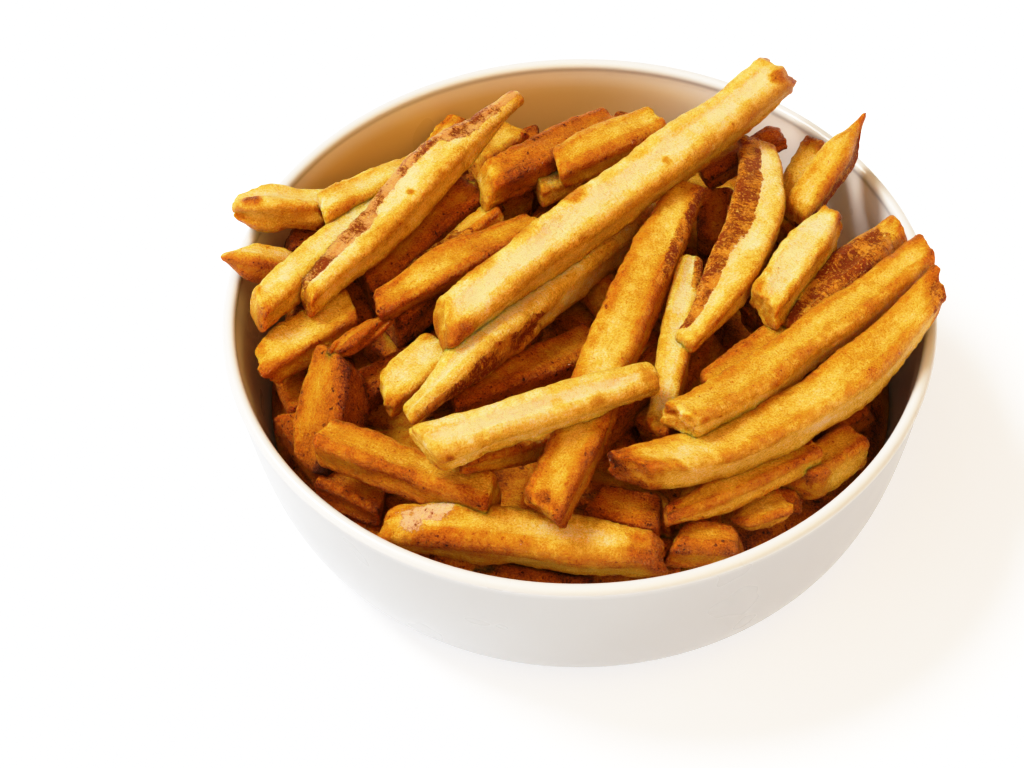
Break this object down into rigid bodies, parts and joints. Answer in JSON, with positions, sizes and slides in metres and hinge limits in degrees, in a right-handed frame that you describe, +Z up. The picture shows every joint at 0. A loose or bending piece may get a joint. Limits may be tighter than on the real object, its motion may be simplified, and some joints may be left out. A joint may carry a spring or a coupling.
{
  "type": "bowl of french fries",
  "caption": "Round white ceramic bowl heaped with thick hand-cut french fries, some with potato skin, with a few lying out over the rim.",
  "frame": {"origin": "centre of the bowl's flat foot, on the surface that it stands on", "axes": "+Z up, +X to the right and +Y to the back of the bowl as it is served"},
  "size_m": [0.1809, 0.178, 0.0782],
  "materials": {
    "ceramic": "satin white glaze",
    "potato": "golden fried potato, pale to orange-brown, slightly oily"
  },
  "bodies": {
    "root": {"bowl": "ceramic", "fries": "potato"}
  },
  "joints": []
}
